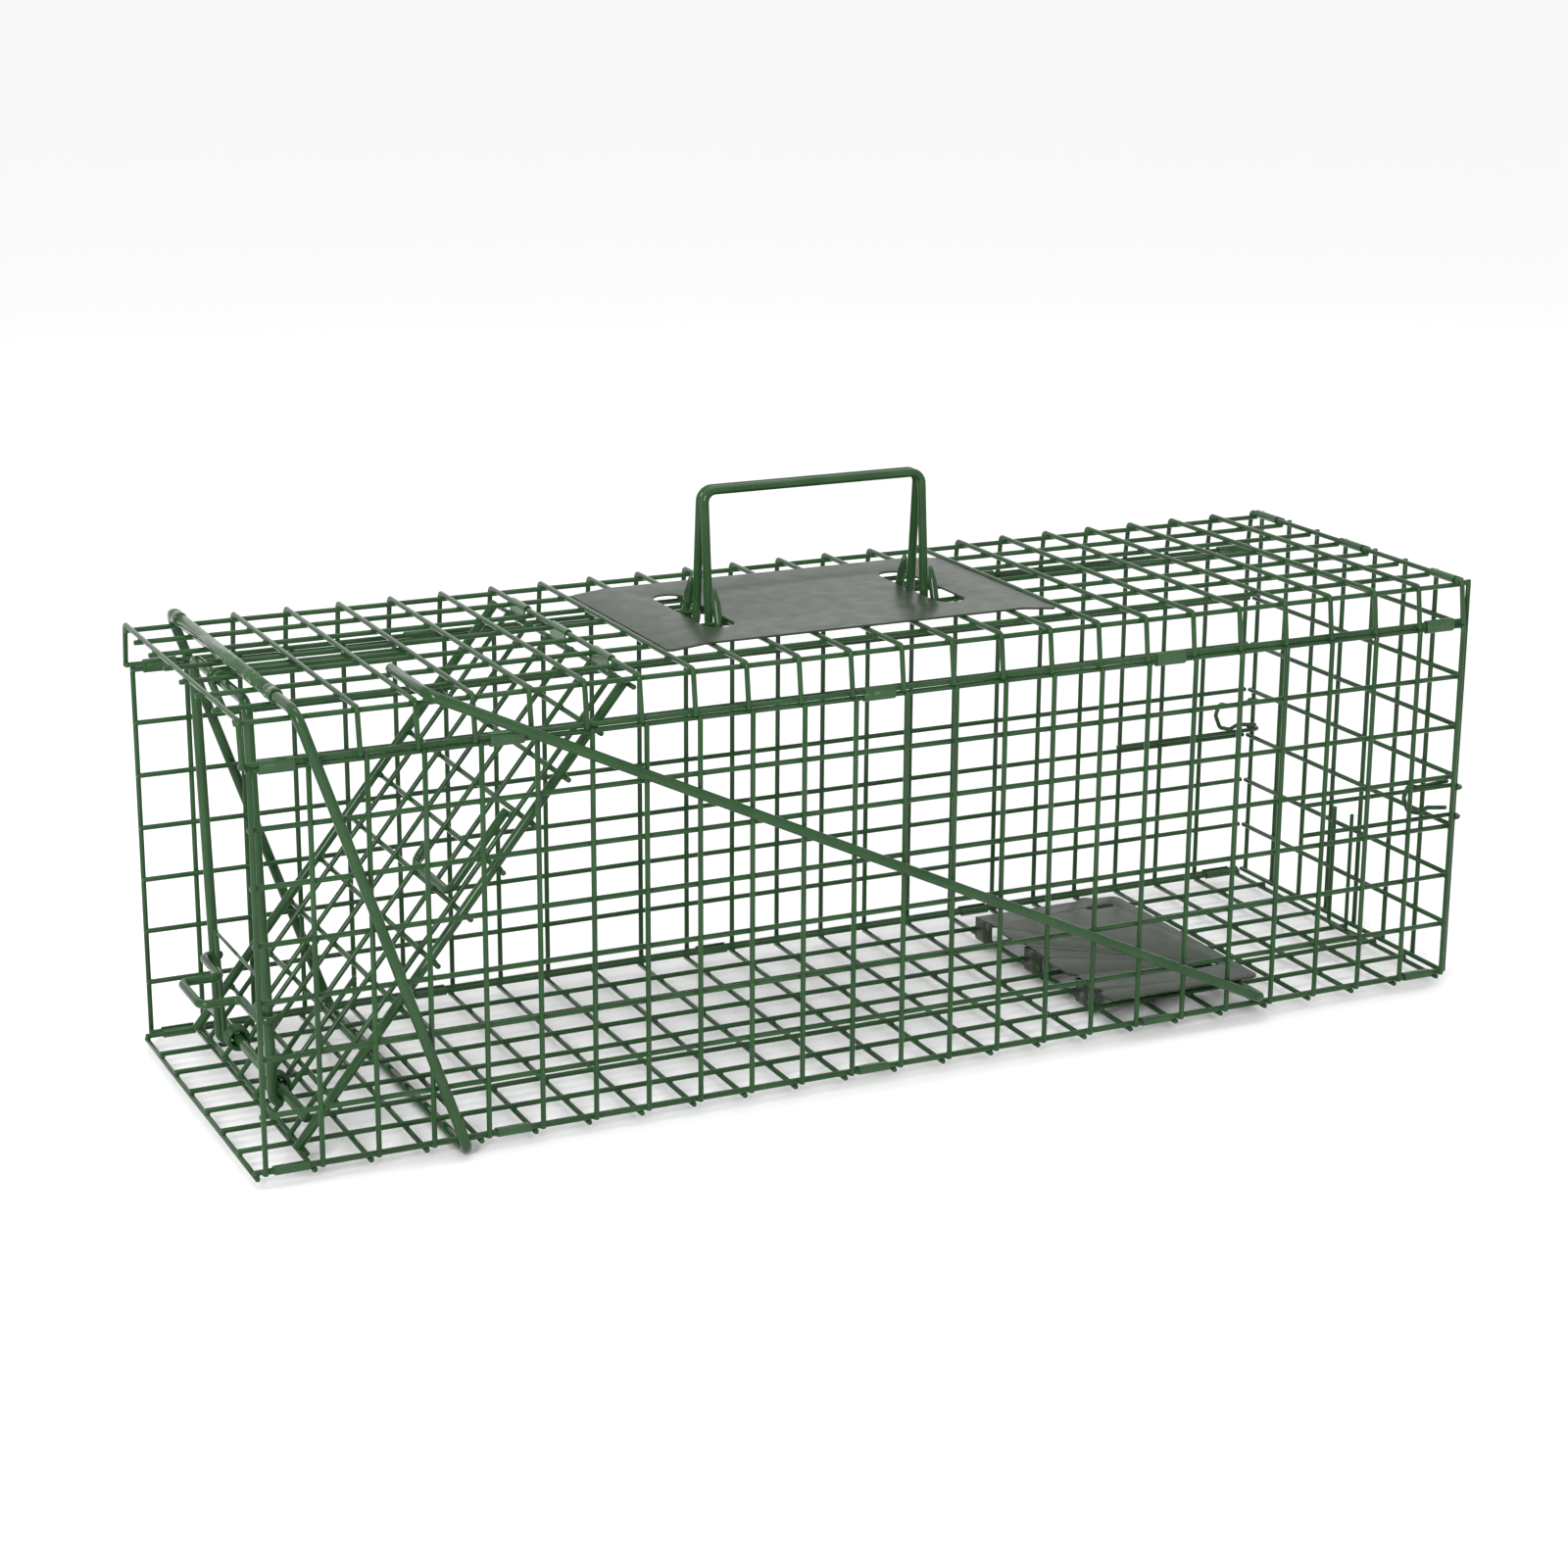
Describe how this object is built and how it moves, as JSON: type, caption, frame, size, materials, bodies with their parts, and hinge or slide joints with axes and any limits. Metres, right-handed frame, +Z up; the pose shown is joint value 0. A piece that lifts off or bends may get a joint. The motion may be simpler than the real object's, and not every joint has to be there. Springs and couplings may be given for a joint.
{
  "type": "live catch trap",
  "caption": "Long wire mesh cage trap with a sloping drop door, lock frame, brace hoop, trigger rod, treadle and carry handle.",
  "frame": {"origin": "middle of the footprint, on the ground", "axes": "+X along the cage from the entrance to the rear door, +Y across from the near side to the far side, +Z up"},
  "size_m": [0.622, 0.1998, 0.267],
  "materials": {
    "mesh_paint": "glossy dark green coating on welded wire",
    "rod_paint": "glossy dark green coating on bent rod",
    "clip_paint": "glossy dark green coating on folded clips",
    "sheet_paint": "satin grey-green coating on sheet"
  },
  "bodies": {
    "cage": {"floor_panel": "mesh_paint", "side_panel_near": "mesh_paint", "side_panel_far": "mesh_paint", "top_panel": "mesh_paint", "top_flange_near": "mesh_paint", "top_flange_far": "mesh_paint", "seam_clips_top_near": "clip_paint", "seam_clips_top_far": "clip_paint", "seam_clips_floor_near": "clip_paint", "seam_clips_floor_far": "clip_paint", "door_hinge_clips": "clip_paint", "rear_hinge_clips": "clip_paint", "guard_plate": "sheet_paint", "lock_hanger": "rod_paint", "floor_prongs": "mesh_paint"},
    "door": {"door_mesh": "mesh_paint", "door_rod_near": "rod_paint", "door_rod_far": "rod_paint", "door_foot_rod": "rod_paint", "door_catch_loop": "rod_paint", "spring_near": "rod_paint", "spring_far": "rod_paint"},
    "lock_frame": {"lock_frame_bar": "rod_paint", "lock_frame_legs": "rod_paint", "lock_pull": "rod_paint"},
    "brace": {"brace_top_bar": "rod_paint", "brace_arms": "rod_paint", "brace_foot_bar": "rod_paint", "brace_sleeve": "clip_paint", "brace_collars": "clip_paint"},
    "trigger": {"trigger_rod": "rod_paint"},
    "treadle": {"treadle": "sheet_paint"},
    "handle_near": {"handle_near_grip": "rod_paint", "handle_near_legs": "rod_paint"},
    "handle_far": {"handle_far_grip": "rod_paint", "handle_far_legs": "rod_paint"},
    "rear_door": {"rear_door_mesh": "mesh_paint", "rear_latch_near": "mesh_paint", "rear_latch_far": "mesh_paint"}
  },
  "joints": [
    {"name": "door_swing", "type": "hinge", "parent": "cage", "child": "door", "pos_m": [-0.1291, 0, 0.1996], "axis": [0, 1, 0], "range_deg": [0, 45]},
    {"name": "lock_swing", "type": "hinge", "parent": "cage", "child": "lock_frame", "pos_m": [-0.2895, 0, 0.20065], "axis": [0, 1, 0], "range_deg": [0, 85.5]},
    {"name": "brace_swing", "type": "hinge", "parent": "cage", "child": "brace", "pos_m": [-0.214, 0, 0.0024], "axis": [0, 1, 0], "range_deg": [0, 10]},
    {"name": "treadle_tilt", "type": "hinge", "parent": "cage", "child": "treadle", "pos_m": [0.1243, 0, 0.0044], "axis": [0, -1, 0], "range_deg": [0, 8]},
    {"name": "trigger_slide", "type": "slide", "parent": "cage", "child": "trigger", "axis": [1, 0, 0], "range_m": [-0.01, 0]},
    {"name": "rear_door_swing", "type": "hinge", "parent": "cage", "child": "rear_door", "pos_m": [0.3053, 0, 0.2056], "axis": [0, -1, 0], "range_deg": [0, 90]},
    {"name": "handle_near_swing", "type": "hinge", "parent": "cage", "child": "handle_near", "pos_m": [-0.00375, -0.0127, 0.2046], "axis": [1, 0, 0], "range_deg": [0, 60]},
    {"name": "handle_far_swing", "type": "hinge", "parent": "cage", "child": "handle_far", "pos_m": [-0.00375, 0.0127, 0.2046], "axis": [-1, 0, 0], "range_deg": [0, 60]}
  ],
  "couplings": [
    {"joint": "lock_swing", "follows": "door_swing", "ratio": 1.9},
    {"joint": "trigger_slide", "follows": "treadle_tilt", "m_per_rad": -0.0716}
  ]
}
